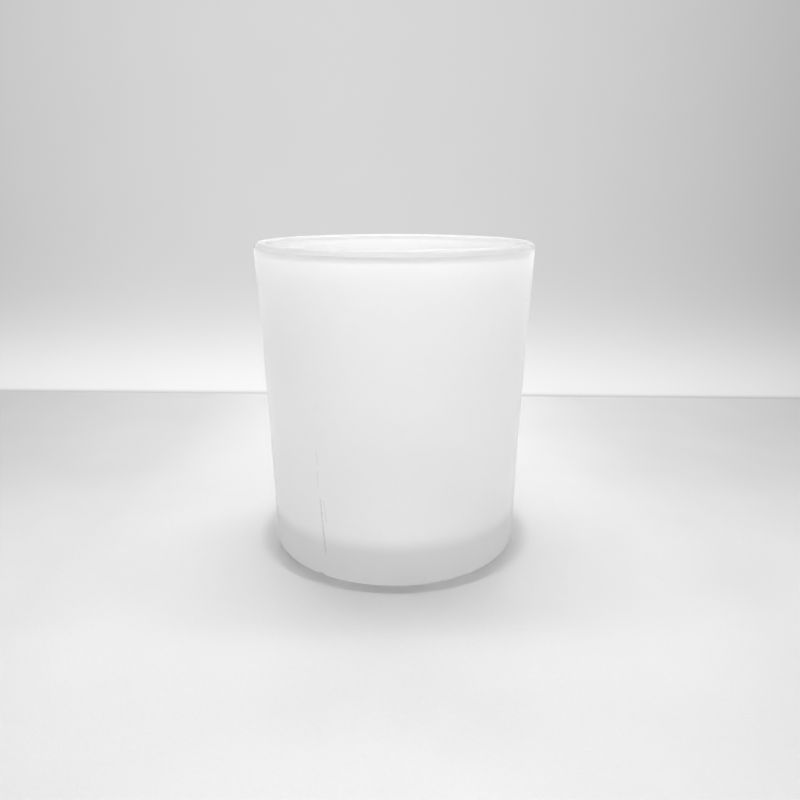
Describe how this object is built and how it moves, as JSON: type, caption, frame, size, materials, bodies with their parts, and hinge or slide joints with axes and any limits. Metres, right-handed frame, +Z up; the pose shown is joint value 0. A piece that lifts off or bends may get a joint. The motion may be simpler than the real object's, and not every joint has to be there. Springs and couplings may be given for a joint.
{
  "type": "candle jar",
  "caption": "Open frosted glass candle jar: round, slightly flared wall, thick base and a rounded clear lip.",
  "frame": {"origin": "centre of the flat ring that the jar stands on", "axes": "+Z up along the jar's axis of revolution, towards the open mouth"},
  "size_m": [0.0794, 0.0794, 0.09],
  "materials": {
    "glass": "clear, fire polished",
    "frost": "translucent milky matt spray coat"
  },
  "bodies": {
    "root": {"glass_jar": "glass", "frost_coat": "frost"}
  },
  "joints": []
}
